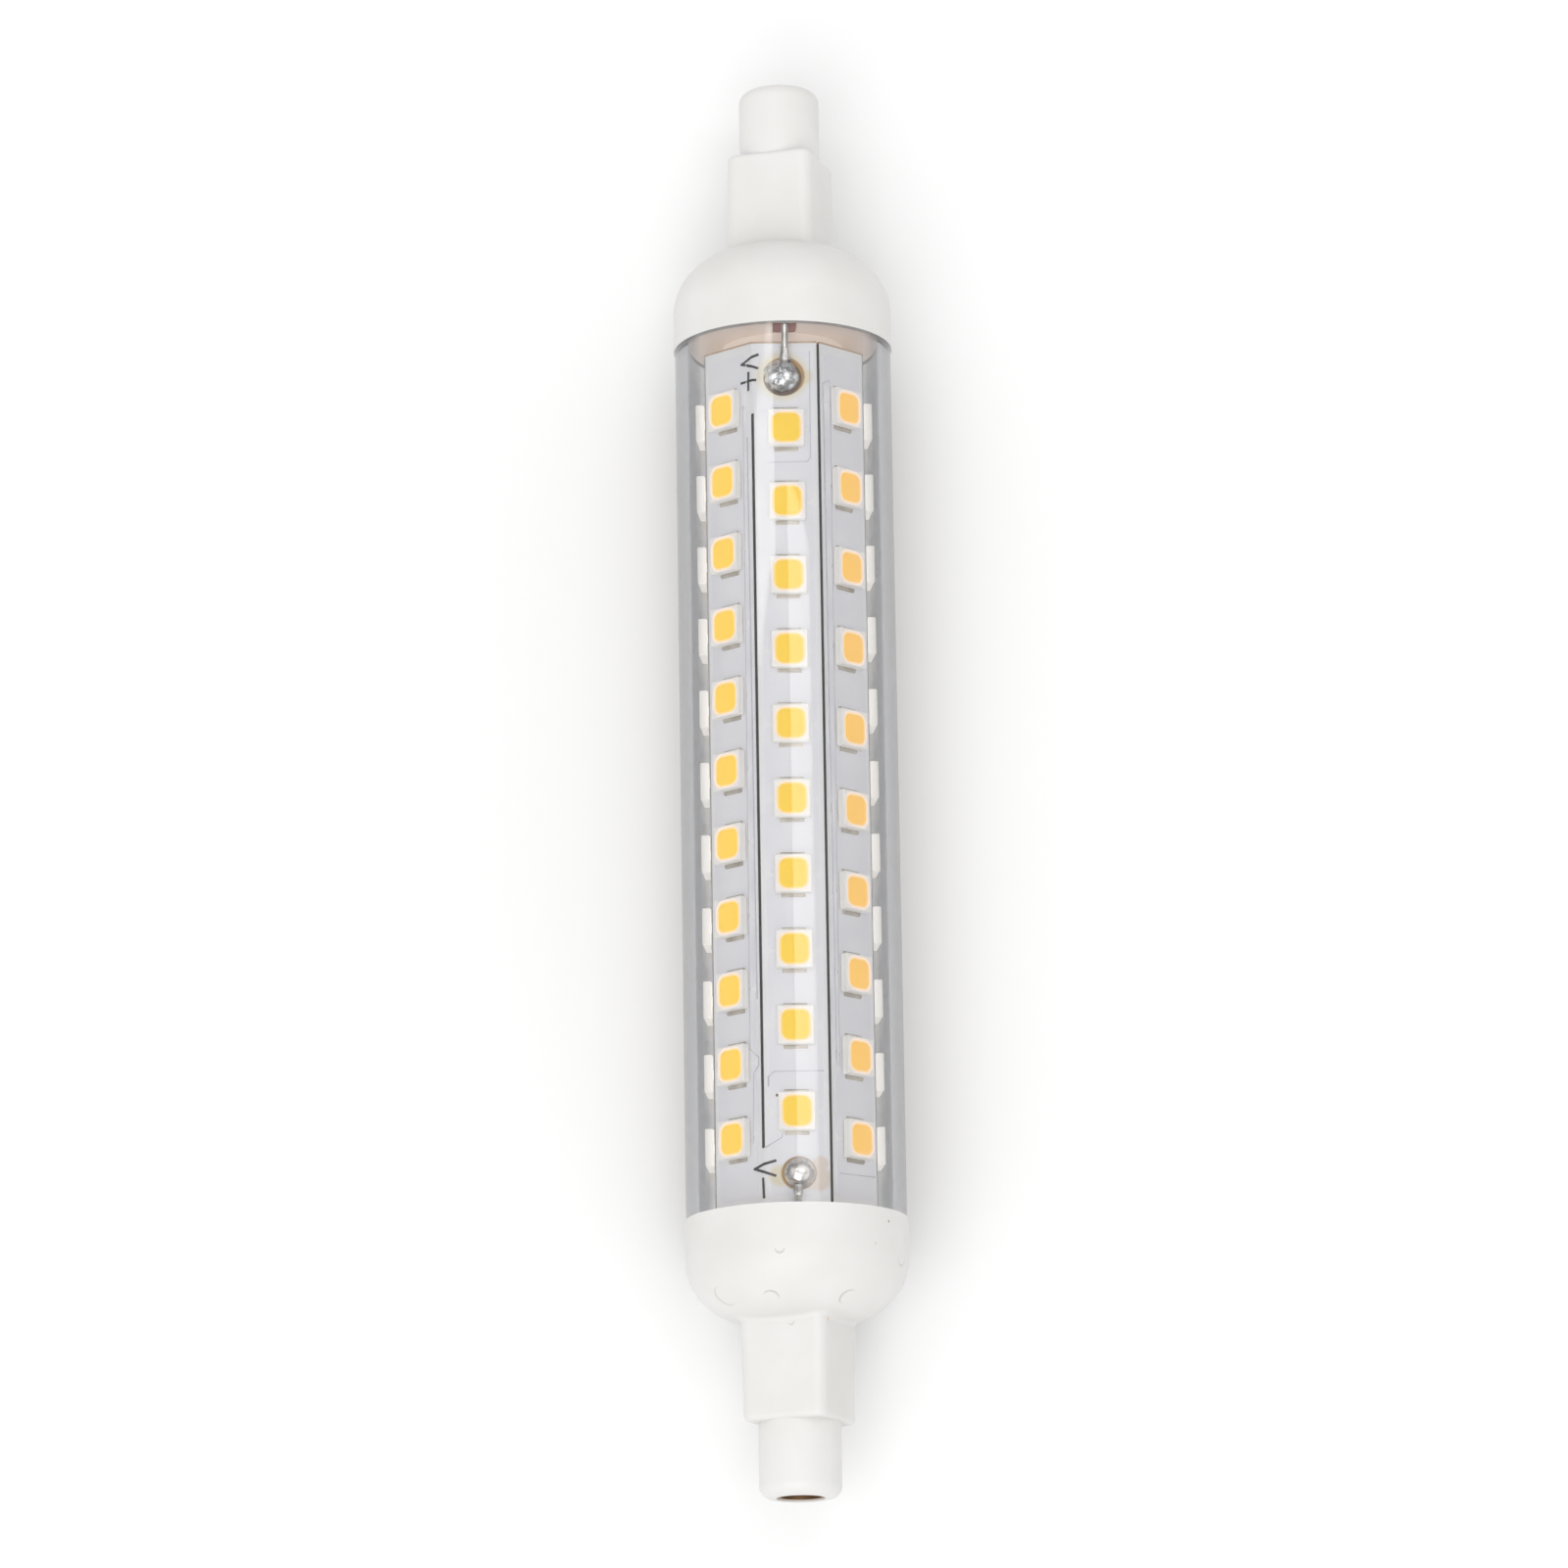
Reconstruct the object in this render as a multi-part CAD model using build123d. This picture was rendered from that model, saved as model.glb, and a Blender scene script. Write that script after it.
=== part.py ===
from build123d import *
import math
import os

os.makedirs("parts", exist_ok=True)

# Double-ended LED corn lamp of the 118 mm class, in millimetres and degrees.
# The lamp lies along X with its V+ end at +X. The face with the two solder joints is up (+Z),
# and the origin is the lamp's centre.

# Whole lamp and clear tube
lamp_length = 117.6
tube_wall = 1.05
tube_step = 0.1

# End caps, one moulding each
cap_radius = 9.0
cap_wall = 1.15
cap_band = 3.1
dome_length = 5.2
dome_end_radius = 3.4
end_wall = 1.0
boss_length = 2.5
board_fit = 0.14
block_side = 7.45
block_length = 8.1
block_draft = 1.0
block_corner = 0.9
block_top_edge = 0.45
block_root = 1.0
block_root_fillet = 0.45
upper_block_spin = -19.0
lower_block_spin = -24.4
ferrule_radius = 3.32
ferrule_length = 6.0
ferrule_edge_length = 1.0
ferrule_edge_depth = 0.95

# Wire slot through the end wall, above the boss
slot_width = 1.9
slot_clearance = 0.05

# Cup contacts in the ferrules
contact_radius = 1.95
contact_clearance = 0.03
contact_cup_wall = 0.25
contact_depth = 1.7
contact_lip = 0.15
contact_floor = 0.8
tail_radius = 0.75
tail_clearance = 0.05

# LED board, one sheet folded to eight faces
led_clearance = 0.58
board_thickness = 1.2
board_top_gap = 1.1
score_width = 0.24
score_depth = 0.45
score_short_top = 6.1
score_short_foot = 4.75

# LED packages
led_width = 2.85
led_length = 3.1
led_height = 0.8
led_window_width = 2.45
led_window_length = 2.7
led_window_corner = 0.6
led_window_depth = 0.5
led_window_draft = 12.0
led_fill_drop = 0.04
tab_width = 1.9
tab_length = 1.35
tab_reach = 0.22
tab_thickness = 0.15

# LED rows: pitch along the lamp, and the bare length kept at both ends
close_pitch = 6.05
wide_pitch = 6.75
row_end_margin = 5.3
row_shift = 0.15
front_pitch = 6.2
front_first_step = 4.52
front_last_step = 4.94

# Solder joints and their leads on the front face
positive_joint_inset = 2.96
positive_joint_y = 0.2
negative_joint_inset = 2.68
negative_joint_y = -0.15
positive_joint_radius = 1.4
negative_joint_radius = 1.28
positive_joint_height = 0.95
negative_joint_height = 1.15
lead_radius = 0.26
lead_lift = 0.1
lead_entry = 0.55
lead_rise = 0.75
lead_inside = 0.9
lead_bend = 0.5

# Film capacitor in the upper cap's wire slot
film_length = 3.7
film_head_room = 0.35
film_edge = 0.35
film_lead_depth = 0.6

# Driver board inside the folded board
driver_roof = 2.44
driver_thickness = 1.0
driver_side_gap = 0.84
driver_end_gap = 0.1
tongue_width = 5.0
tongue_reach = 1.6
tongue_clearance = 0.1

# Driver components
part_gap = 0.02
can_floor_gap = 0.52
can_length = 11.0
can_inset = 16.8
can_groove_inset = 1.6
can_groove_width = 0.8
can_groove_depth = 0.25
wire_radius = 0.3
can_wire_spread = 1.25
can_wire_reach = 2.2
coil_step = 0.15
coil_core_length = 6.0
coil_flange = 0.8
coil_winding_depth = 1.3
coil_winding_step = 0.3
coil_inset = 32.8
resistor_radius = 1.4
resistor_length = 6.5
resistor_inset = 13.8
resistor_wire_reach = 2.0
bridge_inset = 12.8
bridge_size = (5.0, 4.4, 1.4)
chip_inset = 34.8
chip_size = (4.9, 3.9, 1.4)
diode_inset = 24.8
diode_size = (4.3, 2.6, 1.6)
pin_width = 0.42
pin_thickness = 0.2
pin_reach = 0.9
chip_resistor_size = (3.2, 1.6, 0.55)
chip_resistor_places = ((17.8, -2.2), (17.8, 2.2), (12.8, -2.2), (12.8, 2.2), (7.8, 0.0))
mains_radius = 0.55
mains_bend = 1.2
mains_side = 1.5

# Places that follow from the sizes
half_length = lamp_length / 2
ferrule_x = half_length - ferrule_length
block_x = ferrule_x - block_length
band_x = block_x - dome_length
rim_x = band_x - cap_band
cavity_radius = cap_radius - cap_wall
tube_radius = cap_radius - tube_step
tube_bore = tube_radius - tube_wall
board_apothem = math.sqrt(tube_bore ** 2 - (led_width / 2) ** 2) - led_height - led_clearance
board_inner = board_apothem - board_thickness
boss_radius = board_inner - board_fit
board_foot_x = -rim_x
board_top_x = rim_x - board_top_gap
positive_joint_x = board_top_x - positive_joint_inset
negative_joint_x = board_foot_x + negative_joint_inset
contact_back_x = half_length - contact_depth - contact_floor
tail_end_x = block_x - cap_wall - tongue_clearance
driver_top = board_inner - driver_roof
driver_level = driver_top - driver_thickness
driver_width = 2 * (board_inner - driver_side_gap)
driver_end_x = rim_x - boss_length - driver_end_gap
can_radius = (driver_level + board_inner - part_gap - can_floor_gap) / 2
coil_core_radius = can_radius - coil_step
coil_winding_radius = coil_core_radius - coil_winding_step
coil_hub_radius = coil_winding_radius - coil_winding_depth
tongue_end_x = rim_x + end_wall + tongue_reach
film_foot_z = boss_radius + slot_clearance


def box(size, centre):
    """A block of the given size around a centre."""
    return Pos(*centre) * Box(*size)


def rod(radius, start_x, end_x, y=0.0, z=0.0):
    """A round bar along X."""
    return Pos((start_x + end_x) / 2, y, z) * Rot(0, 90, 0) * Cylinder(radius, end_x - start_x)


def wire(radius, points, bend):
    """A round wire along straight runs with the same bend radius at each corner."""
    path = FilletPolyline(*points, radius=bend)
    section = Plane(origin=path @ 0, z_dir=path % 0) * Circle(radius)
    return sweep(section, path=path)


def mitred_wire(radius, points):
    """A round wire along straight runs with sharp corners, for wires that nothing shows."""
    path = Polyline(*points)
    section = Plane(origin=path @ 0, z_dir=path % 0) * Circle(radius)
    return sweep(section, path=path, transition=Transition.RIGHT)


def group(solids):
    """Separate solids kept together as one named piece."""
    return Compound(children=list(solids))


def to_lower_end(shape):
    """Turn a piece made for the +X end round to the -X end, front side still up."""
    return Rot(0, 0, 180) * shape


def turned(outline):
    """A solid of revolution about X from a closed outline in the XZ plane."""
    return revolve(Plane.XZ * make_face(outline), axis=Axis.X)


def dome_arc(radius, end_radius, length):
    """The quarter ellipse of a dome's outline, from its end face round to the band."""
    return EllipticalCenterArc((band_x, end_radius), length, radius - end_radius, arc_size=90)


def dome():
    """The outside of a cap's band and dome."""
    return turned([
        Polyline((block_x, 0), (rim_x, 0), (rim_x, cap_radius), (band_x, cap_radius)),
        dome_arc(cap_radius, dome_end_radius, dome_length),
        Line((block_x, dome_end_radius), (block_x, 0)),
    ])


def cap_cavity():
    """The hollow of a cap, between its end wall and the block."""
    end_radius = dome_end_radius - cap_wall
    wall_x = rim_x + end_wall
    end_x = block_x - cap_wall
    return turned([
        Polyline((end_x, 0), (wall_x, 0), (wall_x, cavity_radius), (band_x, cavity_radius)),
        dome_arc(cavity_radius, end_radius, end_x - band_x),
        Line((end_x, end_radius), (end_x, 0)),
    ])


def ferrule():
    """The round ferrule, rounded over at its end."""
    start_x = ferrule_x - cap_wall
    round_x = half_length - ferrule_edge_length
    flat_radius = ferrule_radius - ferrule_edge_depth
    return turned([
        Polyline((half_length, 0), (start_x, 0), (start_x, ferrule_radius), (round_x, ferrule_radius)),
        EllipticalCenterArc((round_x, flat_radius), ferrule_edge_length, ferrule_edge_depth, arc_size=90),
        Line((half_length, flat_radius), (half_length, 0)),
    ])


def square_block(spin):
    """The drafted square block with rounded edges, turned about the lamp's axis."""
    root_side = block_side + 2 * block_root * math.tan(math.radians(block_draft))
    section = Plane.YZ.offset(block_x - block_root) * Rectangle(root_side, root_side)
    block = extrude(section, block_root + block_length, taper=block_draft)
    block = fillet(block.edges().group_by(Axis.X)[1], block_corner)
    block = fillet(block.faces().sort_by(Axis.X)[-1].edges(), block_top_edge)
    return Rot(spin, 0, 0) * block


def end_cap(block_spin):
    """One end cap: dome, block, ferrule, end wall and boss in one moulding."""
    shell = dome() + square_block(block_spin)
    shell = fillet(shell.edges().filter_by(is_block_root), block_root_fillet)
    boss = rod(boss_radius, rim_x - boss_length, rim_x + end_wall)

    cap = shell + ferrule() + boss
    cap -= cap_cavity()
    cap -= rod(contact_radius + contact_clearance, contact_back_x, half_length + cap_wall)
    cap -= rod(tail_radius + tail_clearance, block_x - 2 * cap_wall, contact_back_x)
    cap -= wire_slot()
    cap -= tongue_slot()
    return cap


def is_block_root(edge):
    """True for the edges where the block leaves the dome."""
    middle = edge.center()
    return band_x < middle.X < block_x + part_gap and math.hypot(middle.Y, middle.Z) > dome_end_radius


def wire_slot():
    """The radial slot in the end wall that lets the LED lead out over the boss."""
    height = cavity_radius - boss_radius
    return box((2 * end_wall, slot_width, height), (rim_x + end_wall / 2, 0, boss_radius + height / 2))


def tongue_slot():
    """The slot through the boss and end wall that holds the driver board's tongue."""
    length = boss_length + 2 * end_wall
    return box(
        (length + boss_length, tongue_width + 2 * tongue_clearance, driver_thickness + 2 * tongue_clearance),
        (rim_x, 0, driver_level + driver_thickness / 2),
    )


def cup_contact():
    """A turned brass contact: cup in the ferrule's mouth and a tail through the block."""
    cup = rod(contact_radius, contact_back_x, half_length - contact_lip)
    recess = rod(contact_radius - contact_cup_wall, contact_back_x + contact_floor, half_length)
    tail = rod(tail_radius, tail_end_x, contact_back_x)
    return cup - recess + tail


def clear_tube():
    """The extruded clear tube, with its ends flat against the two cap rims."""
    return rod(tube_radius, -rim_x, rim_x) - rod(tube_bore, -rim_x, rim_x)


def octagon(apothem, start_x, end_x):
    """An eight-sided bar along X with flat faces up, down and at the sides."""
    corner = apothem / math.cos(math.radians(22.5))
    section = Plane.YZ.offset(start_x) * RegularPolygon(corner, 8, rotation=22.5)
    return extrude(section, end_x - start_x)


def led_board():
    """The folded sheet, scored along its outer fold lines."""
    board = octagon(board_apothem, board_foot_x, board_top_x) - octagon(board_inner, board_foot_x, board_top_x)
    corner = board_apothem / math.cos(math.radians(22.5))
    for fold in range(8):
        marked = fold == 0
        start_x = board_foot_x + (score_short_foot if marked else 0)
        end_x = board_top_x - (score_short_top if marked else 0)
        score = box(
            (end_x - start_x, score_width, 2 * score_depth), ((start_x + end_x) / 2, 0, corner)
        )
        board -= Rot(-22.5 - 45 * fold, 0, 0) * score
    return board


def row_places(pitch):
    """Centres of an evenly spaced LED row that keeps both board ends bare."""
    run = board_top_x - board_foot_x - 2 * row_end_margin
    steps = int(run / pitch)
    middle = (board_top_x + board_foot_x) / 2 + row_shift
    return [middle + pitch * (step - steps / 2) for step in range(steps + 1)]


def front_row_places():
    """Centres of the front row: an even run from the V+ joint, and the last one set by the V- joint."""
    last = negative_joint_x + front_last_step
    place = positive_joint_x - front_first_step
    places = []
    while place > last + front_pitch:
        places.append(place)
        place -= front_pitch
    places.append(last)
    return places


def led_window(clearance=0.0, depth=led_window_depth):
    """The tapered, corner-cut window of an LED package, top face at its top."""
    top = Plane.XY.offset(led_height - clearance)
    shrink = 2 * clearance * math.tan(math.radians(led_window_draft))
    length = led_window_length - shrink
    width = led_window_width - shrink
    section = chamfer(Rectangle(length, width).vertices(), led_window_corner)
    return extrude(top * section, -depth, taper=led_window_draft)


def led_housing():
    """The white plastic body of one LED, standing on its two tabs, face down at height 0."""
    body = box(
        (led_length, led_width, led_height - tab_thickness), (0, 0, (led_height + tab_thickness) / 2)
    )
    return body - led_window()


def led_fill():
    """The phosphor fill in the window of one LED."""
    return led_window(led_fill_drop, led_window_depth - led_fill_drop)


def led_tabs():
    """The two tinned tabs of one LED, showing past each end of its body."""
    end = led_length / 2 + tab_reach
    size = (tab_length, tab_width, tab_thickness)
    return [box(size, (side * (end - tab_length / 2), 0, tab_thickness / 2)) for side in (1, -1)]


def on_face(turn, x, solid):
    """Set a solid made at the origin on one face of the board, at a place along the lamp."""
    return Rot(turn, 0, 0) * Pos(x, 0, board_apothem) * solid


def solder_joint(joint_x, joint_y, radius, height, lead):
    """A round solder mound on the front face with its lead running in."""
    ball = (radius ** 2 + height ** 2) / (2 * height)
    mound = Pos(joint_x, joint_y, board_apothem + height - ball) * Sphere(ball)
    room = box((4 * ball, 4 * ball, 2 * height), (joint_x, joint_y, board_apothem + height))
    return (mound & room) - lead


def led_lead(joint_x, joint_radius, landing):
    """A tinned lead from a height inside a cap, out through its slot and down into a solder joint."""
    side = math.copysign(1, joint_x)
    joint = abs(joint_x)
    low = board_apothem + lead_lift + lead_radius
    high = low + lead_rise
    tip_x = joint + joint_radius - lead_entry
    inside_x = rim_x + end_wall + lead_inside
    points = [
        (side * tip_x, 0, low),
        (side * (joint + joint_radius + lead_entry), 0, low),
        (side * rim_x, 0, high),
        (side * inside_x, 0, high),
    ]
    if landing < high:
        points.append((side * inside_x, 0, landing))
    return wire(lead_radius, points, lead_bend)


def film_capacitor(lead):
    """The dark red dipped capacitor, its end set in the upper cap's wire slot around the lead."""
    height = cavity_radius - film_head_room - film_foot_z
    size = (film_length, slot_width - 2 * slot_clearance, height)
    body = box(size, (rim_x + slot_clearance + film_length / 2, 0, film_foot_z + height / 2))
    body = fillet(body.edges().filter_by(Axis.X), film_edge)
    return body - lead - film_leg()


def film_leg():
    """The film capacitor's second lead, straight down to the driver board's tongue."""
    length = film_foot_z + film_lead_depth - driver_top
    middle = (rim_x + end_wall + lead_inside, 0, driver_top + length / 2)
    return Pos(*middle) * Cylinder(lead_radius, length)


def driver_board():
    """The driver's board: a wide middle and a tongue at each end, in the caps' slots."""
    middle = (0, 0, (driver_level + driver_top) / 2)
    board = box((2 * driver_end_x, driver_width, driver_thickness), middle)
    return board + box((2 * tongue_end_x, tongue_width, driver_thickness), middle)


def gull_pins(body_size, x, rows):
    """Short flat pins on both sides of a body that stands on the driver board."""
    length, width, height = body_size
    pins = []
    for row in range(rows):
        pin_x = x + (row - (rows - 1) / 2) * length / rows
        for side in (1, -1):
            size = (pin_width, pin_reach, pin_thickness)
            centre = (pin_x, side * (width + pin_reach) / 2, driver_top + part_gap + pin_thickness / 2)
            pins.append(box(size, centre))
    return pins


def surface_part(body_size, x, y=0.0):
    """A moulded body that stands on the driver board's top."""
    return box(body_size, (x, y, driver_top + part_gap + body_size[2] / 2))


def chip_with_pins(body_size, x, rows):
    """A moulded body fused with its rows of pins."""
    body = surface_part(body_size, x)
    for pin in gull_pins(body_size, x, rows):
        body += pin
    return body


def electrolytic_capacitor():
    """The can lying under the driver board, with its rolled groove and two bent wires."""
    level = driver_level - part_gap - can_radius
    start_x = driver_end_x - can_inset - can_length / 2
    can = rod(can_radius, start_x, start_x + can_length, 0, level)
    groove_x = start_x + can_groove_inset
    groove = rod(2 * can_radius, groove_x, groove_x + can_groove_width, 0, level)
    groove -= rod(can_radius - can_groove_depth, groove_x, groove_x + can_groove_width, 0, level)
    can -= groove
    for side in (1, -1):
        can += bent_wire(start_x, start_x - can_wire_reach, side * can_wire_spread, level)
    return can


def bent_wire(near_x, far_x, y, level):
    """A component's wire: out along X at one height and up to the driver board's underside."""
    points = [(near_x, y, level), (far_x, y, level), (far_x, y, driver_level)]
    return mitred_wire(wire_radius, points)


def inductor_core():
    """The ferrite drum lying under the driver board."""
    coil_x = driver_end_x - coil_inset
    level = driver_level - part_gap - coil_core_radius
    half = coil_core_length / 2
    core = rod(coil_hub_radius, coil_x - half, coil_x + half, 0, level)
    for side in (1, -1):
        outer = coil_x + side * half
        inner = outer - side * coil_flange
        core += rod(coil_core_radius, min(outer, inner), max(outer, inner), 0, level)
    return core


def inductor_winding():
    """The wound copper between the drum's flanges."""
    coil_x = driver_end_x - coil_inset
    level = driver_level - part_gap - coil_core_radius
    half = coil_core_length / 2 - coil_flange
    outer = rod(coil_winding_radius, coil_x - half, coil_x + half, 0, level)
    return outer - rod(coil_hub_radius, coil_x - half, coil_x + half, 0, level)


def fusible_resistor():
    """The axial resistor under the driver board, on its two bent wires."""
    level = driver_level - part_gap - resistor_radius
    middle_x = resistor_inset - driver_end_x
    half = resistor_length / 2
    body = rod(resistor_radius, middle_x - half, middle_x + half, 0, level)
    for side in (1, -1):
        near_x = middle_x + side * half
        body += bent_wire(near_x, near_x + side * resistor_wire_reach, 0, level)
    return body


def mains_wire():
    """The insulated wire from a contact's tail down to the top of the driver board's tongue."""
    rest_z = driver_top + part_gap + mains_radius
    start_x = tail_end_x - part_gap
    rise_x = tongue_end_x + mains_radius
    points = [
        (start_x, 0, 0),
        (start_x - mains_bend, 0, 0),
        (rise_x, mains_side, rest_z),
        (rim_x + end_wall + part_gap, mains_side, rest_z),
    ]
    return mitred_wire(mains_radius, points)


upper_lead = led_lead(positive_joint_x, positive_joint_radius, cavity_radius)
lower_lead = led_lead(negative_joint_x, negative_joint_radius, driver_top)

nodes = {
    "upper_end_cap": end_cap(upper_block_spin),
    "lower_end_cap": to_lower_end(end_cap(-lower_block_spin)),
    "upper_contact": cup_contact(),
    "lower_contact": to_lower_end(cup_contact()),
    "clear_tube": clear_tube(),
    "led_board": led_board(),
    "positive_lead": upper_lead,
    "negative_lead": lower_lead,
    "positive_solder": solder_joint(
        positive_joint_x, positive_joint_y, positive_joint_radius, positive_joint_height, upper_lead
    ),
    "negative_solder": solder_joint(
        negative_joint_x, negative_joint_y, negative_joint_radius, negative_joint_height, lower_lead
    ),
    "film_capacitor": film_capacitor(upper_lead),
    "capacitor_return_lead": film_leg(),
    "driver_board": driver_board(),
    "bridge_rectifier": chip_with_pins(bridge_size, bridge_inset - driver_end_x, 2),
    "driver_chip": chip_with_pins(chip_size, driver_end_x - chip_inset, 4),
    "flyback_diode": surface_part(diode_size, driver_end_x - diode_inset),
    "chip_resistors": group(
        surface_part(chip_resistor_size, driver_end_x - inset, y) for inset, y in chip_resistor_places
    ),
    "electrolytic_capacitor": electrolytic_capacitor(),
    "inductor_core": inductor_core(),
    "inductor_winding": inductor_winding(),
    "fusible_resistor": fusible_resistor(),
    "upper_mains_wire": mains_wire(),
    "lower_mains_wire": to_lower_end(mains_wire()),
}

# The eight LED rows, by face, going round from the front towards +Y
faces = ("front", "front_left", "left", "back_left", "back", "back_right", "right", "front_right")
for number, face in enumerate(faces):
    if face == "front":
        places = front_row_places()
    elif face == "front_right":
        places = row_places(wide_pitch)
    else:
        places = row_places(close_pitch)
    turn = -45 * number
    nodes["led_housings_" + face] = group(on_face(turn, x, led_housing()) for x in places)
    nodes["led_phosphor_" + face] = group(on_face(turn, x, led_fill()) for x in places)
    nodes["led_tabs_" + face] = group(on_face(turn, x, tab) for x in places for tab in led_tabs())

for name, shape in nodes.items():
    export_step(shape, f"parts/{name}.step")
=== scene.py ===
import bmesh
import bpy
import math
from mathutils import Matrix, Vector


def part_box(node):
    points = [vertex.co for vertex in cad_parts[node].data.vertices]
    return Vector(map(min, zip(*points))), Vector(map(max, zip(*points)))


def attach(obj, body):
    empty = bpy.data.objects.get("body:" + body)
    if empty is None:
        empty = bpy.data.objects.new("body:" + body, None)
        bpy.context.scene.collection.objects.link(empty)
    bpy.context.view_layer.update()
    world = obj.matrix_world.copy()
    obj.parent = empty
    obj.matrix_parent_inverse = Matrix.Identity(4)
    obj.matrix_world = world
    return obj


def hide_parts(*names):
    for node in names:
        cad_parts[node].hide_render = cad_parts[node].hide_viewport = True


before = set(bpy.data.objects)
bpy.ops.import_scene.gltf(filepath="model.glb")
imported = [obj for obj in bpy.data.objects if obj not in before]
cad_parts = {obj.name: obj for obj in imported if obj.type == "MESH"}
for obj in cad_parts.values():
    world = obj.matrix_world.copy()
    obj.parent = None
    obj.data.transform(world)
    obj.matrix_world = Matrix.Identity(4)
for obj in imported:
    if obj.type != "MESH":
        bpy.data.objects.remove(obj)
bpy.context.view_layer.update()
MM = 0.001


# ---- Camera -------------------------------------------------------------------------------
# The lamp lies flat and is seen from above, a little past the V- end, from about 0.6 m away
# with a long lens, which is the photograph's viewing angle.
camera_place = Vector((-0.138543, 0.014684, 0.582300))
camera_right = Vector((-0.015365, -0.999666, 0.020783))
camera_up = Vector((0.972845, -0.010145, 0.231235))
camera_back = Vector((-0.230947, 0.023772, 0.972676))
camera_lens = 168.645

camera_data = bpy.data.cameras.new("camera")
camera_data.lens = camera_lens
camera_data.sensor_width = 36.0
camera_data.sensor_fit = "HORIZONTAL"
camera = bpy.data.objects.new("camera", camera_data)
bpy.context.scene.collection.objects.link(camera)
turn = Matrix((camera_right, camera_up, camera_back)).transposed().to_4x4()
camera.matrix_world = Matrix.Translation(camera_place) @ turn
bpy.context.scene.camera = camera


# ---- Floor and light ----------------------------------------------------------------------
# A pale studio table lit by soft boxes. Two long soft boxes stand where the clear tube
# mirrors them as a short and a long pale stripe.
floor_height = -9.02 * MM
floor_size = 6.0
floor_pale = "F1F1F1"
floor_shade = "EEEEEE"
sky_strength = 0.83


def linear(hex_colour):
    """An sRGB hex colour as linear red, green, blue and alpha."""
    parts = [int(hex_colour[place:place + 2], 16) / 255 for place in (0, 2, 4)]
    linear_parts = [c / 12.92 if c <= 0.04045 else ((c + 0.055) / 1.055) ** 2.4 for c in parts]
    return linear_parts + [1.0]


def add(tree, kind, settings=None, sockets=None):
    """Add a node, set its own settings, and give its sockets a value or a link."""
    made = tree.nodes.new(kind)
    for name, value in (settings or {}).items():
        setattr(made, name, value)
    for socket, value in (sockets or {}).items():
        if isinstance(value, bpy.types.NodeSocket):
            tree.links.new(value, made.inputs[socket])
        else:
            made.inputs[socket].default_value = value
    return made


def new_material(name, sockets):
    """A material with one Principled shader; returns it, its tree and its shader."""
    made = bpy.data.materials.new(name)
    made.use_nodes = True
    made.node_tree.nodes.clear()
    shader = add(made.node_tree, "ShaderNodeBsdfPrincipled", sockets=sockets)
    add(made.node_tree, "ShaderNodeOutputMaterial", sockets={"Surface": shader.outputs[0]})
    return made, made.node_tree, shader


def ramp(tree, factor, stops):
    """A straight colour ramp from a list of (place, hex colour)."""
    made = add(tree, "ShaderNodeValToRGB", sockets={"Fac": factor})
    while len(made.color_ramp.elements) < len(stops):
        made.color_ramp.elements.new(0.5)
    for element, (place, colour) in zip(made.color_ramp.elements, stops):
        element.position = place
        element.color = linear(colour)
    return made.outputs["Color"]


def object_place(tree):
    """The place of the point being shaded, in metres."""
    return add(tree, "ShaderNodeTexCoord").outputs["Object"]


def clouded(tree, place, scale, detail, stops):
    """A colour that drifts softly between stops, as on any real surface."""
    cloud = add(tree, "ShaderNodeTexNoise", sockets={
        "Vector": place, "Scale": scale, "Detail": detail})
    return ramp(tree, cloud.outputs["Fac"], stops)


def clouded_material(name, sockets, scale, detail, stops):
    """A material whose only pattern is its drifting colour."""
    made, tree, shader = new_material(name, sockets)
    colour = clouded(tree, object_place(tree), scale, detail, stops)
    tree.links.new(colour, shader.inputs["Base Color"])
    return made


# Painted table top: a matt off-white whose faint mottling keeps it from looking empty
table_paint = clouded_material("painted_table_matt", {"Roughness": 0.9},
                               12.0, 2.0, [(0.3, floor_shade), (0.7, floor_pale)])

bpy.ops.object.select_all(action="DESELECT")
bpy.ops.mesh.primitive_plane_add(size=floor_size, location=(0, 0, floor_height))
floor = bpy.context.object
floor.name = "table_top"
bpy.ops.object.transform_apply()
floor.data.materials.append(table_paint)

world = bpy.data.worlds.new("studio")
bpy.context.scene.world = world
world.use_nodes = True
world.node_tree.nodes["Background"].inputs["Color"].default_value = linear("FFFFFF")
world.node_tree.nodes["Background"].inputs["Strength"].default_value = sky_strength
bpy.context.scene.view_settings.view_transform = "Standard"


def soft_box(name, place, size, power, aimed=False):
    """A rectangular soft box that faces straight down at the table, or at the lamp."""
    data = bpy.data.lights.new(name, "AREA")
    data.shape = "RECTANGLE"
    data.size, data.size_y = size
    data.energy = power
    made = bpy.data.objects.new(name, data)
    made.location = place
    if aimed:
        made.rotation_euler = Vector(place).to_track_quat("Z", "Y").to_euler()
    bpy.context.scene.collection.objects.link(made)


# Place, size and power, in metres and watts. The first two boxes make the stripes, and the
# others fill from overhead and from the V- side.
soft_box("stripe_box_long", (0.083, -0.088, 0.40), (0.100, 0.165), 0.088)
soft_box("stripe_box_short", (0.144, 0.175, 0.40), (0.036, 0.170), 0.036)
soft_box("overhead_box", (0.10, 0.0, 1.1), (1.4, 1.4), 1.5)
soft_box("front_box", (-0.60, 0.22, 0.90), (0.9, 0.9), 4.6, aimed=True)


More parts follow.
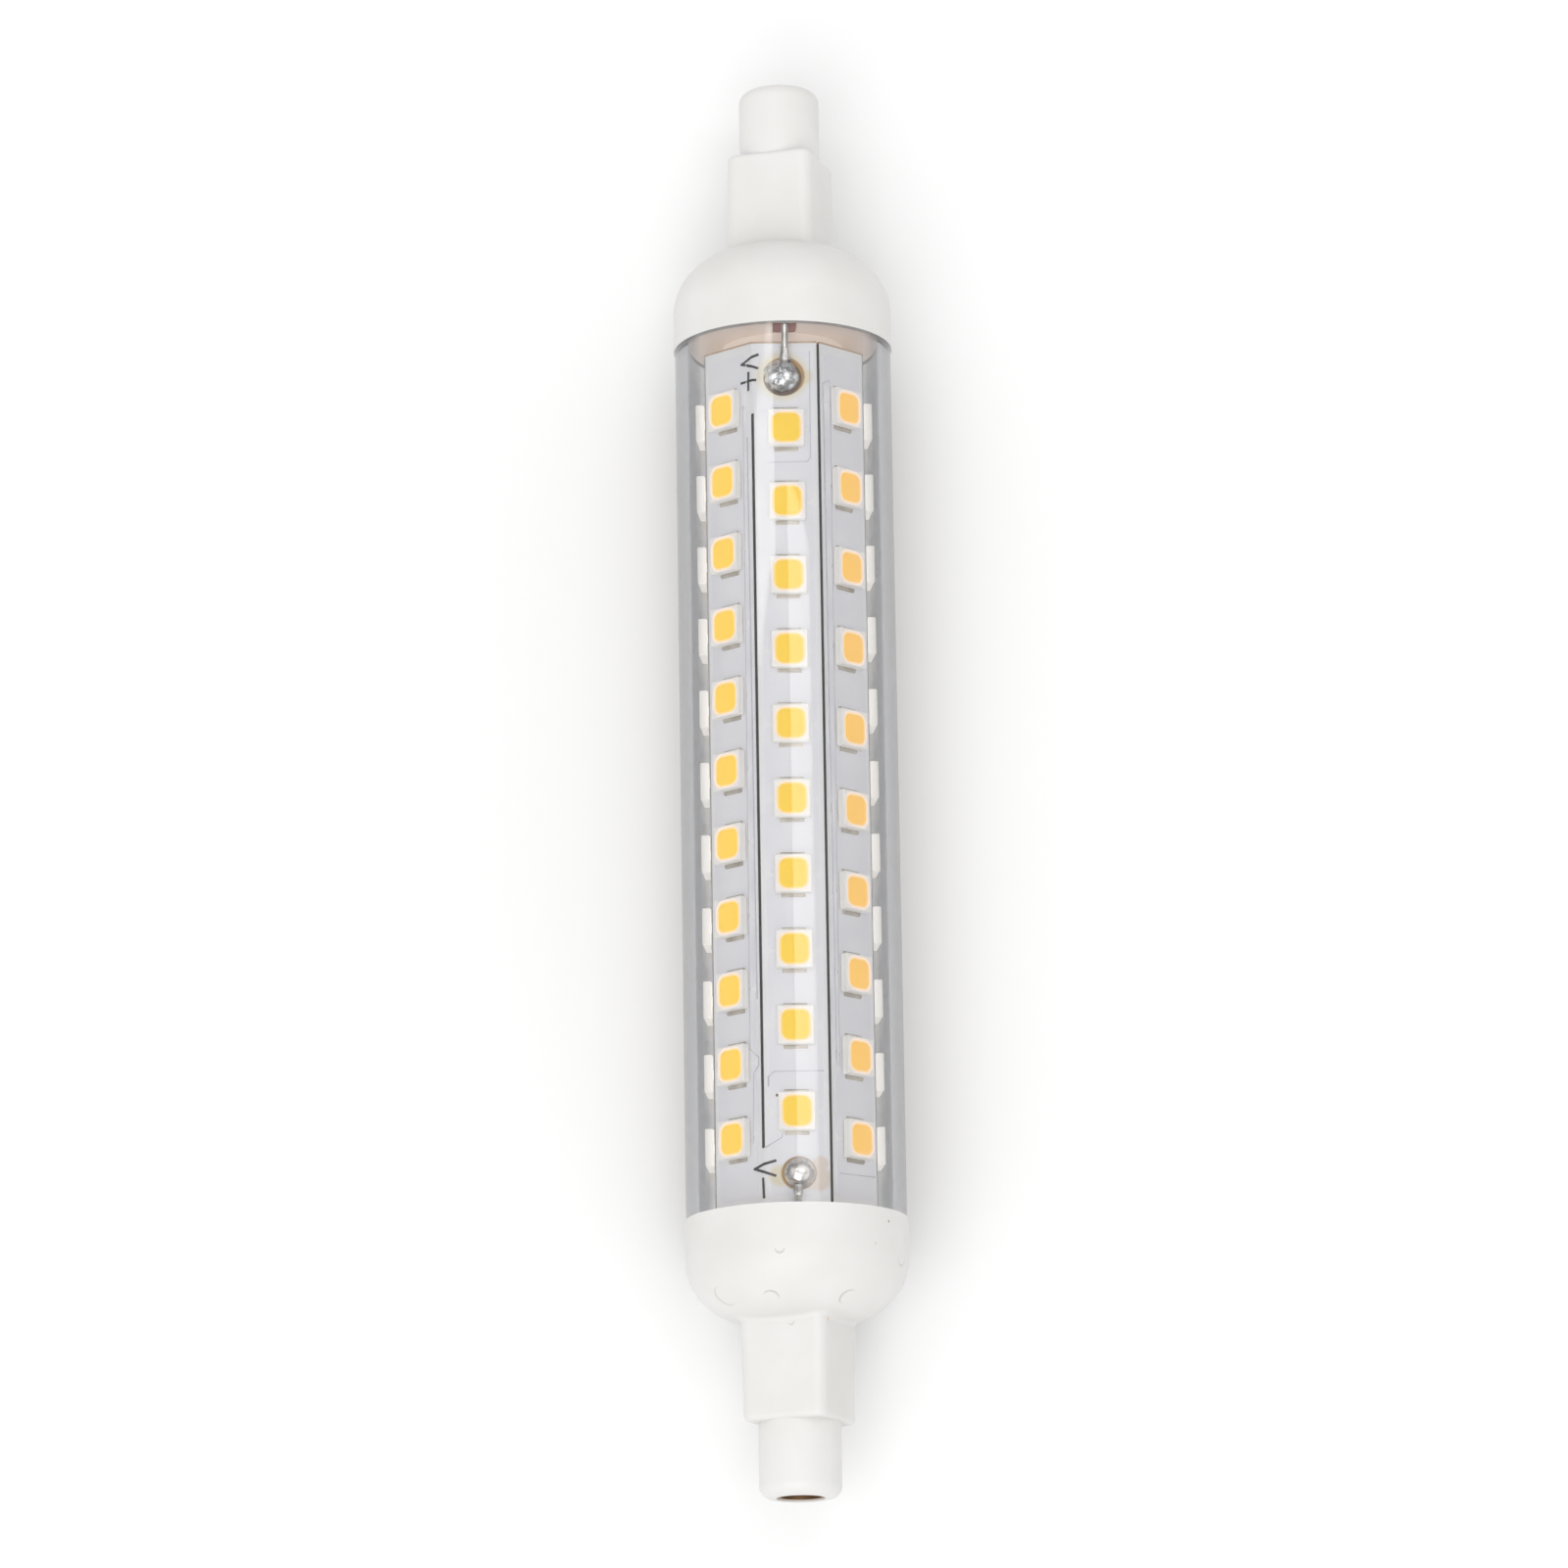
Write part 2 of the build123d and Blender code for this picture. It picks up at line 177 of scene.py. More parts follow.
# ---- End caps -----------------------------------------------------------------------------
# Each cap is one injection moulding in white flame-retardant plastic: band, dome, square
# block, ferrule and the wall behind the tube. It is glued to the tube's end.
cap_white = "DDDCDA"
cap_white_shade = "D8D7D4"
# The grey of the painted shade in the lower cap's small dents
dent_shade_grey = "BFBBB4"
speck_brown = "8E8880"
speck_pink = "E8B9A0"
# Painted light: the thin wall behind the tube gets a paler beige and a faint glow for the light
# that comes through the tube
wall_painted_light_beige = "F3E8DF"
wall_painted_glow = "FFF0E4"
wall_painted_glow_strength = 0.16

# The thin wall behind the tube: its distance from the lamp's middle and its radius
wall_end = 37.0
wall_radius = 7.84

# A lone pink speck on the lower cap
pink_place = (-44.99, -2.28, 3.98)
pink_radius = 0.14


def disc(tree, place, centre, radius, soft):
    """1 inside a ball around a centre and 0 outside it, all in mm."""
    centre_m = [c * MM for c in centre]
    far = add(tree, "ShaderNodeVectorMath", {"operation": "DISTANCE"}, {0: place, 1: centre_m})
    return add(tree, "ShaderNodeMapRange", {"interpolation_type": "SMOOTHSTEP"}, {
        "Value": far.outputs["Value"],
        "From Min": (radius + soft) * MM,
        "From Max": (radius - soft) * MM,
    }).outputs[0]


def math_node(tree, operation, first, second):
    """The result of one operation on two numbers or links."""
    return add(tree, "ShaderNodeMath", {"operation": operation}, {0: first, 1: second}).outputs[0]


def most(tree, covers):
    """The strongest of several masks."""
    total = covers[0]
    for cover in covers[1:]:
        total = math_node(tree, "MAXIMUM", total, cover)
    return total


def crescent(tree, place, centre, radius, shift):
    """A fingernail-shaped mark: one disc less the same disc moved by shift."""
    whole = disc(tree, place, centre, radius, 0.06)
    moved = disc(tree, place, [c + d for c, d in zip(centre, shift)], radius, 0.12)
    settings = {"operation": "SUBTRACT", "use_clamp": True}
    return add(tree, "ShaderNodeMath", settings, {0: whole, 1: moved}).outputs[0]


def mixed(tree, cover, under, over):
    """One colour over another, by a mask."""
    mix = add(tree, "ShaderNodeMix", {"data_type": "RGBA"}, {0: cover, 6: under, 7: over})
    return mix.outputs[2]


def moulded_white(name, dent_shades=(), specks=()):
    """Moulded white plastic: softly glossy, with a spark-eroded grain too fine to count.

    The thin wall behind the tube is lit through from outside; the paler beige and faint glow on it
    are painted light that stands for this.
    """
    made, tree, shader = new_material(
        name, {"Roughness": 0.42, "IOR": 1.49, "Specular IOR Level": 0.5}
    )
    place = object_place(tree)
    colour = clouded(tree, place, 160.0, 3.0, [(0.35, cap_white_shade), (0.65, cap_white)])
    if dent_shades:
        # Grey crescents of painted shade in the small dents; then brown specks of dirt and a pink
        # speck
        dent_shaded = most(tree, [crescent(tree, place, *dent_shade) for dent_shade in dent_shades])
        colour = mixed(tree, dent_shaded, colour, linear(dent_shade_grey))
        dirty = most(tree, [disc(tree, place, centre, radius, 0.04) for centre, radius in specks])
        colour = mixed(tree, dirty, colour, linear(speck_brown))
        pink = disc(tree, place, pink_place, pink_radius, 0.06)
        colour = mixed(tree, pink, colour, linear(speck_pink))
    # Painted light on the thin wall behind the tube, inside the bore: a paler beige and a faint
    # glow
    axes = add(tree, "ShaderNodeSeparateXYZ", sockets={0: place})
    along = add(tree, "ShaderNodeMath", {"operation": "ABSOLUTE"}, {0: axes.outputs[0]}).outputs[0]
    flat = add(tree, "ShaderNodeVectorMath", {"operation": "MULTIPLY"}, {
        0: place, 1: (0.0, 1.0, 1.0)})
    around = add(tree, "ShaderNodeVectorMath", {"operation": "LENGTH"}, {0: flat.outputs[0]})
    near_tube = math_node(tree, "LESS_THAN", along, wall_end * MM)
    in_bore = math_node(tree, "LESS_THAN", around.outputs["Value"], wall_radius * MM)
    inside = math_node(tree, "MULTIPLY", near_tube, in_bore)
    colour = mixed(tree, inside, colour, linear(wall_painted_light_beige))
    tree.links.new(colour, shader.inputs["Base Color"])
    glow = mixed(tree, inside, linear("000000"), linear(wall_painted_glow))
    tree.links.new(glow, shader.inputs["Emission Color"])
    shader.inputs["Emission Strength"].default_value = wall_painted_glow_strength
    grain = add(tree, "ShaderNodeTexNoise", sockets={
        "Vector": place, "Scale": 2600.0, "Detail": 2.0})
    bump = add(tree, "ShaderNodeBump", sockets={
        "Height": grain.outputs["Fac"], "Strength": 0.12, "Distance": 0.00004})
    tree.links.new(bump.outputs[0], shader.inputs["Normal"])
    return made


def dress(names, material):
    """Give CAD nodes one material."""
    for name in names:
        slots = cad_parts[name].data.materials
        slots.clear()
        slots.append(material)


# The lower cap's small dents, drawn as grey crescents of painted shade, and its specks: centre,
# radius and the cut-out's shift, in mm
dent_shade_marks = [
    ((-40.10, 1.60, 8.85), 0.42, (0.17, 0.0, 0.0)),
    ((-43.55, 2.26, 6.52), 0.66, (-0.14, 0.05, -0.10)),
    ((-43.57, -3.90, 5.68), 0.82, (-0.10, -0.14, -0.08)),
    ((-42.95, 5.75, 4.25), 1.05, (0.07, -0.09, 0.09)),
    ((-39.95, -8.25, 3.4), 0.80, (0.10, 0.03, 0.0)),
    ((-45.15, 0.62, 3.72), 0.30, (0.10, 0.04, 0.0)),
]
dirt = [((-37.44, -7.21, 5.38), 0.10), ((-39.4, -6.1, 6.6), 0.05)]
dress(["upper_end_cap"], moulded_white("moulded_white_plastic"))
dress(["lower_end_cap"], moulded_white("moulded_white_plastic_dent_shaded", dent_shade_marks, dirt))


# ---- Cup contacts -------------------------------------------------------------------------
# Each is a cup turned from brass and pressed into its ferrule's bore, with its mouth set back.
# The sprung pin of the holder presses on its floor.

# Turned brass: dulled brown-gold, a little cloudy
contact_brass = clouded_material("turned_brass", {"Metallic": 1.0, "Roughness": 0.38},
                                 700.0, 3.0, [(0.3, "8A6C54"), (0.7, "B0906E")])
dress(["upper_contact", "lower_contact"], contact_brass)


# ---- Clear tube ---------------------------------------------------------------------------
# Extruded clear acrylic, 1 mm thick, standing in a film of glue between the two cap rims, so
# its cut ends don't show.
tube_radius = 8.9
tube_wall = 1.05
tube_length = 72.8
glue_film = 0.02
tube_sides = 160


def in_edit(piece, pick, kind="FACE"):
    """Open a piece in edit mode with the faces, edges or corners that pick accepts selected."""
    bpy.ops.object.select_all(action="DESELECT")
    piece.select_set(True)
    bpy.context.view_layer.objects.active = piece
    bpy.ops.object.mode_set(mode="EDIT")
    bpy.ops.mesh.select_mode(type={"FACE": "FACE", "EDGE": "EDGE", "CORNER": "VERT"}[kind])
    bpy.ops.mesh.select_all(action="DESELECT")
    mesh = bmesh.from_edit_mesh(piece.data)
    for part in {"FACE": mesh.faces, "EDGE": mesh.edges, "CORNER": mesh.verts}[kind]:
        if pick(part):
            part.select_set(True)
    mesh.select_flush_mode()
    bmesh.update_edit_mesh(piece.data)


def out_of_edit():
    """Leave edit mode."""
    bpy.ops.object.mode_set(mode="OBJECT")


def finish_piece(piece, material, replaced=()):
    """Dress a finished piece and tell the frame what it is."""
    piece.data.materials.clear()
    piece.data.materials.append(material)
    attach(piece, "root")
    if replaced:
        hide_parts(*replaced)


# Clear at the middle, greyer where the eye looks along the wall and through more of it; most of
# that grey is painted shade on the tube's edges
clear_acrylic, tree, shader = new_material(
    "extruded_clear_acrylic", {"Roughness": 0.02, "IOR": 1.49, "Transmission Weight": 1.0}
)
slant = add(tree, "ShaderNodeLayerWeight", sockets={"Blend": 0.5}).outputs["Facing"]
clear = ramp(tree, slant, [
    (0.0, "FFFFFF"), (0.38, "FFFFFF"), (0.46, "BEBFC2"), (0.56, "797A7D"), (1.0, "6E6F72")])
tree.links.new(clear, shader.inputs["Base Color"])
# Draw lines: the faint waves along the tube that the die leaves in its skin
draw_lines = add(tree, "ShaderNodeMapping", sockets={
    "Vector": object_place(tree), "Scale": (6.0, 500.0, 500.0)})
wave = add(tree, "ShaderNodeTexNoise", sockets={
    "Vector": draw_lines.outputs[0], "Scale": 1.0, "Detail": 1.0})
bump = add(tree, "ShaderNodeBump", sockets={
    "Height": wave.outputs["Fac"], "Strength": 0.05, "Distance": 0.00005})
tree.links.new(bump.outputs[0], shader.inputs["Normal"])

bpy.ops.object.select_all(action="DESELECT")
bpy.ops.mesh.primitive_cylinder_add(
    vertices=tube_sides, radius=tube_radius * MM, depth=(tube_length + 2 * glue_film) * MM,
    end_fill_type="NOTHING", rotation=(0, math.radians(90), 0),
)
tube = bpy.context.object
tube.name = "glued_clear_tube"
bpy.ops.object.transform_apply()
wall = tube.modifiers.new("wall", "SOLIDIFY")
wall.thickness = tube_wall * MM
wall.offset = -1
bpy.ops.object.modifier_apply(modifier="wall")
bpy.ops.object.shade_smooth_by_angle(angle=math.radians(40))
finish_piece(tube, clear_acrylic, ["clear_tube"])


# ---- LED board ----------------------------------------------------------------------------
# One white-masked board, scored on the outside along its fold lines and bent to eight faces.
# The scored folds show the dark core, and the V+ end its browned laminate.
fold_angle = 45
apothem = 6.34
mask_white = "FDFDFF"
mask_shade = "FAFAFD"
core_grey = "5E5A58"
laminate_brown = "C9AE94"

# Where the browned end starts, and how far below a face the core and the mask lie
cut_end = 35.14
core_depth = 0.05
mask_depth = 0.03

# Flux left by hand soldering, and a dark rim at the V+ joint's foot: a colour, and discs by places
# along and across, radius and softness
stains = [
    ("EFE6CC", [(32.34, 0.2, 2.0, 0.5), (-33.9, 1.35, 0.85, 0.3), (32.3, -1.3, 0.8, 0.3)]),
    ("EEE1D6", [(-34.15, -1.55, 1.05, 0.25), (-33.0, -1.75, 0.65, 0.2)]),
    ("B58A48", [(32.32, 0.08, 1.62, 0.08), (-33.72, -0.08, 1.36, 0.07)]),
    ("5A4028", [(-27.38, 1.50, 0.12, 0.05), (31.08, -0.36, 0.24, 0.06),
                # The last dark brown disc lies under the V+ joint and shows only as a thin dark
                # rim round its lower foot
                (32.16, 0.20, 1.50, 0.05)]),
]


def fluxed(tree, place, mask):
    """The mask's colour with the flux that the two hand-soldered joints left on it, and a dark rim
    at the V+ joint's foot.
    """
    for colour, discs in stains:
        covers = [disc(tree, place, (x, y, apothem), radius, soft) for x, y, radius, soft in discs]
        mask = mixed(tree, most(tree, covers), mask, linear(colour))
    return mask


# White solder mask: a satin, faintly cool white. Below the mask's depth, in a scored fold, the
# dark core shows.
board_mask, tree, shader = new_material("white_solder_mask", {"Roughness": 0.35, "IOR": 1.5})
place = object_place(tree)
reaches = []
for turn_steps in range(4):
    angle = math.radians(fold_angle * turn_steps)
    across = add(tree, "ShaderNodeVectorMath", {"operation": "DOT_PRODUCT"},
                 {0: place, 1: (0.0, math.sin(angle), math.cos(angle))}).outputs["Value"]
    reaches.append(add(tree, "ShaderNodeMath", {"operation": "ABSOLUTE"}, {0: across}).outputs[0])
surface = add(tree, "ShaderNodeMapRange", sockets={
    "Value": most(tree, reaches),
    "From Min": (apothem - core_depth) * MM,
    "From Max": (apothem - mask_depth) * MM,
}).outputs[0]
mask = clouded(tree, place, 220.0, 3.0, [(0.35, mask_shade), (0.65, mask_white)])
coloured = mixed(tree, surface, linear(core_grey), fluxed(tree, place, mask))
axes = add(tree, "ShaderNodeSeparateXYZ", sockets={0: place})
cut = math_node(tree, "GREATER_THAN", axes.outputs[0], cut_end * MM)
coloured = mixed(tree, cut, coloured, linear(laminate_brown))
tree.links.new(coloured, shader.inputs["Base Color"])
dress(["led_board"], board_mask)


# ---- LEDs ---------------------------------------------------------------------------------
# Each LED is a white reflector cup moulded on two tinned tabs and filled with yellow
# phosphor in clear silicone. The tabs are soldered to the board at the two ends.
face_names = (
    "front", "front_left", "left", "back_left", "back", "back_right", "right", "front_right"
)
led_counts = {"front": 10, "front_right": 10}
led_count = 11
front_first = 27.82
front_pitch = 6.2
led_length = 3.1
led_width = 2.85
led_height = 0.8
led_stand = 0.15
led_edge = 0.07
window_inset = 0.12
window_corner = 0.82
window_depth = 0.1
window_taper = 0.97
fill_gap = 0.02
fill_drop = 0.04
rim_width = 0.30
rim_drop = 0.02
tab_reach = 0.22
# Strengths of the cups' painted glow, and of the stronger painted glow on the two side rows
cup_painted_glow = 0.13
edge_cup_painted_glow = 0.32


def any_part(part):
    """Pick every part."""
    return True


def block(name, size, centre):
    """A block of a size in mm around a centre in mm, its place in its mesh."""
    bpy.ops.object.select_all(action="DESELECT")
    bpy.ops.mesh.primitive_cube_add(size=1)
    made = bpy.context.object
    made.name = name
    made.scale = [s * MM for s in size]
    made.location = [c * MM for c in centre]
    bpy.ops.object.transform_apply()
    return made


def joined(pieces, name):
    """Join pieces into one."""
    bpy.ops.object.select_all(action="DESELECT")
    for piece in pieces:
        piece.select_set(True)
    bpy.context.view_layer.objects.active = pieces[0]
    bpy.ops.object.join()
    pieces[0].name = name
    return pieces[0]


def on_face(number, x, y=0.0):
    """A seat on a board face: the face's number from the front, and places along and across it."""
    turn = Matrix.Rotation(math.radians(-fold_angle * number), 4, "X")
    return turn @ Matrix.Translation((x * MM, y * MM, apothem * MM))


def copies(name, master, seats):
    """One piece made of copies of a master, each at a face's number and a place along the lamp."""
    made = []
    for number, x in seats:
        copy = master.copy()
        copy.data = master.data.copy()
        bpy.context.scene.collection.objects.link(copy)
        copy.data.transform(on_face(number, x))
        made.append(copy)
    made = joined(made, name)
    made.data.name = name
    return made


def led_places(face):
    """The places of a row's LEDs along the lamp, in mm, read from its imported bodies."""
    low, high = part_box("led_housings_" + face)
    count = led_counts.get(face, led_count)
    first = low[0] / MM + led_length / 2
    last = high[0] / MM - led_length / 2
    if face == "front":
        return [front_first - front_pitch * step for step in range(count - 1)] + [first]
    return [first + (last - first) * step / (count - 1) for step in range(count)]


def round_plate(name, length, width, corner, height, segments=5):
    """A flat sheet with rounded corners, lying at a height over the board."""
    bpy.ops.object.select_all(action="DESELECT")
    bpy.ops.mesh.primitive_plane_add(size=1)
    made = bpy.context.object
    made.name = name
    made.scale = (length * MM, width * MM, 1)
    made.location = (0, 0, height * MM)
    bpy.ops.object.transform_apply()
    in_edit(made, any_part, "CORNER")
    bpy.ops.mesh.bevel(offset=corner * MM, segments=segments, affect="VERTICES")
    out_of_edit()
    return made


# The cup: a rounded window sunk into a block with broken edges, its top frame bridged between
window_length = led_length - 2 * window_inset
window_width = led_width - 2 * window_inset
just_under_top = (led_height - 0.01) * MM
cup = round_plate("led_cup", window_length, window_width, window_corner, led_height)
in_edit(cup, any_part)
bpy.ops.mesh.extrude_region_move(TRANSFORM_OT_translate={"value": (0, 0, -window_depth * MM)})
bpy.ops.transform.resize(value=(window_taper, window_taper, 1.0), center_override=(0, 0, 0))
out_of_edit()
in_edit(cup, lambda face: min(vert.co.z for vert in face.verts) > just_under_top)
bpy.ops.mesh.delete(type="ONLY_FACE")
out_of_edit()
outside = block("led_cup_outside", (led_length, led_width, led_height - led_stand),
                (0, 0, (led_height + led_stand) / 2))
in_edit(outside, any_part, "EDGE")
bpy.ops.mesh.bevel(offset=led_edge * MM, segments=1)
out_of_edit()
in_edit(outside, lambda face: abs(face.normal.z) > 0.9)
bpy.ops.mesh.delete(type="ONLY_FACE")
out_of_edit()
joined([cup, outside], "led_cup")


def on_top_border(edge):
    """True for the open edges at the cup's top: its outer square and its rounded window."""
    return edge.is_boundary and min(vert.co.z for vert in edge.verts) > just_under_top


in_edit(cup, on_top_border, "EDGE")
bpy.ops.mesh.bridge_edge_loops()
out_of_edit()

# The fill: a thin plate whose rim is thinner phosphor, so paler
fill = round_plate("led_fill", window_length - 2 * fill_gap, window_width - 2 * fill_gap,
                   window_corner, led_height - fill_drop)
in_edit(fill, any_part)
bpy.ops.mesh.inset(thickness=rim_width * MM)
bpy.ops.transform.translate(value=(0, 0, -rim_drop * MM))
out_of_edit()
depth = fill.data.attributes.new("fill_depth", "FLOAT", "POINT")
for vert in fill.data.vertices:
    on_rim = vert.co.z > (led_height - fill_drop - rim_drop / 2) * MM
    depth.data[vert.index].value = 0.0 if on_rim else 1.0

# White reflector plastic: satin and translucent. A faint glow, painted light, stands for the light
# it passes on and brightens the cups.
cup_plastic = clouded_material("moulded_reflector_plastic", {
    "Roughness": 0.4, "IOR": 1.5,
    "Emission Color": linear("FFF6EC"), "Emission Strength": cup_painted_glow,
}, 900.0, 2.0, [(0.3, "FDFCF8"), (0.7, "FFFFFC")])

# The rows at the lamp's two sides are seen through the thick edge of the tube; their cups are a
# brighter copy with more painted glow, painted light that makes them as bright as the front rows.
edge_cup_painted_light_plastic = cup_plastic.copy()
edge_cup_painted_light_plastic.name = "moulded_reflector_plastic_edge_lit"
edge_shader = edge_cup_painted_light_plastic.node_tree.nodes["Principled BSDF"]
edge_shader.inputs["Emission Strength"].default_value = edge_cup_painted_glow

# Phosphor in silicone: a smooth yellow window, paler at its thin rim. It turns some daylight into
# yellow light; a faint glow, painted light, stands for that. The rows are lit and shaded copies of
# one phosphor: the front row is painted the yellowest, and the row right of it the
# most orange with a stronger glow: the deep colour, the pale one, the glow and its strength.
phosphor_lit_copies = {
    "yellow": ("FFD31C", "FFE08C", "FFD032", 0.24),
    "warm": ("FFD43C", "FFDFA4", "FFCE50", 0.38),
    "orange": ("FFCB56", "FFDCB0", "FFC468", 0.38),
}
row_lit_copies = {"front": "yellow", "front_right": "orange"}
phosphor_rim = [(0.0, "FFF1EA"), (0.26, "FFE6D2")]
phosphors = {}
for name, (deep, pale, glow, strength) in phosphor_lit_copies.items():
    made, tree, shader = new_material("phosphor_in_silicone_" + name, {
        "Roughness": 0.3, "IOR": 1.41, "Emission Strength": strength})
    amount = add(tree, "ShaderNodeAttribute", {"attribute_name": "fill_depth"}).outputs["Fac"]
    colour = ramp(tree, amount, phosphor_rim + [(0.62, pale), (1.0, deep)])
    tree.links.new(colour, shader.inputs["Base Color"])
    light = ramp(tree, amount, phosphor_rim + [(1.0, glow)])
    tree.links.new(light, shader.inputs["Emission Color"])
    phosphors[name] = made

for number, face in enumerate(face_names):
    row = [(number, x) for x in led_places(face)]
    plastic = edge_cup_painted_light_plastic if face in ("left", "right") else cup_plastic
    cups = copies("led_cups_" + face, cup, row)
    finish_piece(cups, plastic, ["led_housings_" + face])
    fills = copies("led_fills_" + face, fill, row)
    mix = phosphors[row_lit_copies.get(face, "warm")]
    finish_piece(fills, mix, ["led_phosphor_" + face])
bpy.data.objects.remove(cup)
bpy.data.objects.remove(fill)

# Tinned brass: satin, warm grey, a little cloudy from the reflow oven
tinned_tab = clouded_material("tinned_brass_tab", {"Metallic": 1.0, "Roughness": 0.5},
                              900.0, 2.0, [(0.3, "B9B2A8"), (0.7, "DDD7CE")])
dress(["led_tabs_" + face for face in face_names], tinned_tab)

# The solder at both ends of each LED: a low fillet running out from the tab's end
fillet_length = 0.12
fillet_width = 1.9
fillet_height = 0.09
fillet_fall = 0.8
fillets = []
for side in (1, -1):
    wedge = block("led_fillet", (fillet_length, fillet_width, fillet_height),
                  (side * (led_length / 2 + tab_reach + fillet_length / 2), 0, fillet_height / 2))
    outer = (led_length / 2 + tab_reach + fillet_length / 2) * MM
    middle = fillet_height / 2 * MM
    in_edit(wedge, lambda vert: abs(vert.co.x) > outer and vert.co.z > middle, "CORNER")
    bpy.ops.transform.translate(value=(0, 0, -fillet_height * fillet_fall * MM))
    out_of_edit()
    fillets.append(wedge)
wedge_pair = joined(fillets, "led_fillet")
seats = [(number, x) for number, face in enumerate(face_names) for x in led_places(face)]
finish_piece(copies("led_end_solder", wedge_pair, seats), tinned_tab)
bpy.data.objects.remove(wedge_pair)


# ---- Copper areas -------------------------------------------------------------------------
# Under the mask one copper area runs from each LED to the next. It shows as a slightly raised,
# greyer field with clipped corners, and the gaps between the fields look lighter.
copper_width = 4.15
copper_gap = 0.26
copper_corner = 0.30
copper_lift = 0.035
board_ends = (-36.4, 35.3)
bare_end = 0.75
first_field = board_ends[0] + bare_end
last_field = board_ends[1] - bare_end

# White mask over copper: the same satin white as the board, a shade greyer from the metal below
masked_copper, tree, shader = new_material("masked_copper", {"Roughness": 0.35, "IOR": 1.5})
place = object_place(tree)
mask = clouded(tree, place, 260.0, 3.0, [(0.35, "F5F5FB"), (0.65, "F9F9FE")])
tree.links.new(fluxed(tree, place, mask), shader.inputs["Base Color"])

for number, face in enumerate(face_names):
    stops = [first_field] + sorted(led_places(face)) + [last_field]
    fields = []
    for start, end in zip(stops, stops[1:]):
        length = end - start - copper_gap
        field = round_plate("field", length, copper_width, copper_corner, copper_lift, 1)
        in_edit(field, any_part)
        down = {"value": (0, 0, -copper_lift * MM)}
        bpy.ops.mesh.extrude_region_move(TRANSFORM_OT_translate=down)
        bpy.ops.mesh.select_all(action="SELECT")
        bpy.ops.mesh.normals_make_consistent(inside=False)
        out_of_edit()
        field.data.transform(on_face(number, (start + end) / 2))
        fields.append(field)
    finish_piece(joined(fields, "copper_fields_" + face), masked_copper)


# ---- Track edges --------------------------------------------------------------------------
# The mask stands up a little over the edges of the wider tracks; the raised edges are coloured
# grey as painted shade lines. Each is laid out on its face of the board, counted from the front:
# places along the lamp, and distances round from the face's middle.
ridge_width = 0.11
ridge_height = 0.055
ridge_taper = 0.5
ridges = [
    (0, [(34.4, -1.95), (25.42, -1.89), (25.09, -1.64), (25.03, 1.39)]),
    (0, [(-26.61, 2.16), (-25.89, 2.15), (-25.45, 1.71), (-25.43, -2.08)]),
    (0, [(-31.61, 2.50), (-30.83, 1.21), (-30.43, 1.09)]),
    (1, [(29.98, -1.662), (-23.47, -1.422), (-24.25, -2.302), (-24.89, -2.302),
         (-25.44, -1.772), (-31.15, -1.612)]),
    (1, [(27.24, -2.052), (-19.44, -2.222)]),
    (-1, [(32.0, 1.342), (32.16, 1.552), (31.8, 2.152), (-24.9, 1.922)]),
    (-1, [(31.65, 1.342), (-24.85, 1.582)]),
    (-1, [(-33.64, 1.692), (-33.5, -2.2)]),
]
# The mask's edge: a little glossier than its flat skin, and greyer as a painted shade line along
# the raised edge
mask_edge_shade_line = clouded_material("raised_mask_edge_painted_shade", {"Roughness": 0.3, "IOR": 1.5},
                               900.0, 2.0, [(0.3, "CFCFD9"), (0.7, "DADAE3")])


def bar(name, start, end, width, height):
    """A flat bar as long as two points are apart; returns it, their middle and its turn."""
    along = Vector(end) - Vector(start)
    made = block(name, (along.length + width, width, height), (0, 0, height / 2))
    turn = Matrix.Rotation(math.atan2(along.y, along.x), 4, "Z")
    return made, (Vector(start) + Vector(end)) / 2, turn


laid = []
for number, corners in ridges:
    for start, end in zip(corners, corners[1:]):
        ridge, middle, turn = bar("ridge", start, end, ridge_width, ridge_height)
        in_edit(ridge, lambda face: face.normal.z > 0.9)
        bpy.ops.transform.resize(value=(1.0, ridge_taper, 1.0), center_override=(0, 0, 0))
        out_of_edit()
        ridge.data.transform(on_face(number, middle.x, middle.y) @ turn)
        laid.append(ridge)
finish_piece(joined(laid, "track_edges"), mask_edge_shade_line)


# ---- Polarity marks -----------------------------------------------------------------------
# V+ and V- are screen-printed in black across the uncut part of the left fold line. Each
# stroke is laid out on the flat sheet, as place along the lamp and distance round from the
# front face's middle, and then folded with the board.
stroke_width = 0.21
ink_height = 0.012
half_face = 2.626
strokes = [
    ((34.17, 2.16), (33.56, 3.66)), ((33.56, 3.72), (33.05, 2.21)),
    ((32.69, 2.99), (31.29, 3.02)), ((31.98, 3.75), (32.03, 2.38)),
    ((-32.69, 1.74), (-33.23, 3.52)), ((-33.23, 3.58), (-33.88, 1.76)),
    ((-34.14, 2.70), (-35.60, 2.64)),
]
# Screen-printed ink: matt black, a little patchy
printed_ink = clouded_material("printed_black_ink", {"Roughness": 0.5},
                               3000.0, 2.0, [(0.35, "1A1A1C"), (0.65, "2E2E31")])

printed = []
for start, end in strokes:
    stroke, middle, turn = bar("stroke", start, end, stroke_width, ink_height)
    stroke.data.transform(Matrix.Translation((middle.x * MM, middle.y * MM, 0)) @ turn)
    in_edit(stroke, any_part)
    bpy.ops.mesh.bisect(plane_co=(0, half_face * MM, 0), plane_no=(0, 1, 0))
    out_of_edit()
    printed.append(stroke)
ink = joined(printed, "polarity_marks")
lift = (apothem + copper_lift) * MM
fold = math.radians(fold_angle)
for vert in ink.data.vertices:
    past = vert.co.y - half_face * MM
    if past > 0:
        vert.co.y = half_face * MM + past * math.cos(fold) + vert.co.z * math.sin(fold)
        vert.co.z = lift - past * math.sin(fold) + vert.co.z * math.cos(fold)
    else:
        vert.co.z += lift
finish_piece(ink, printed_ink)
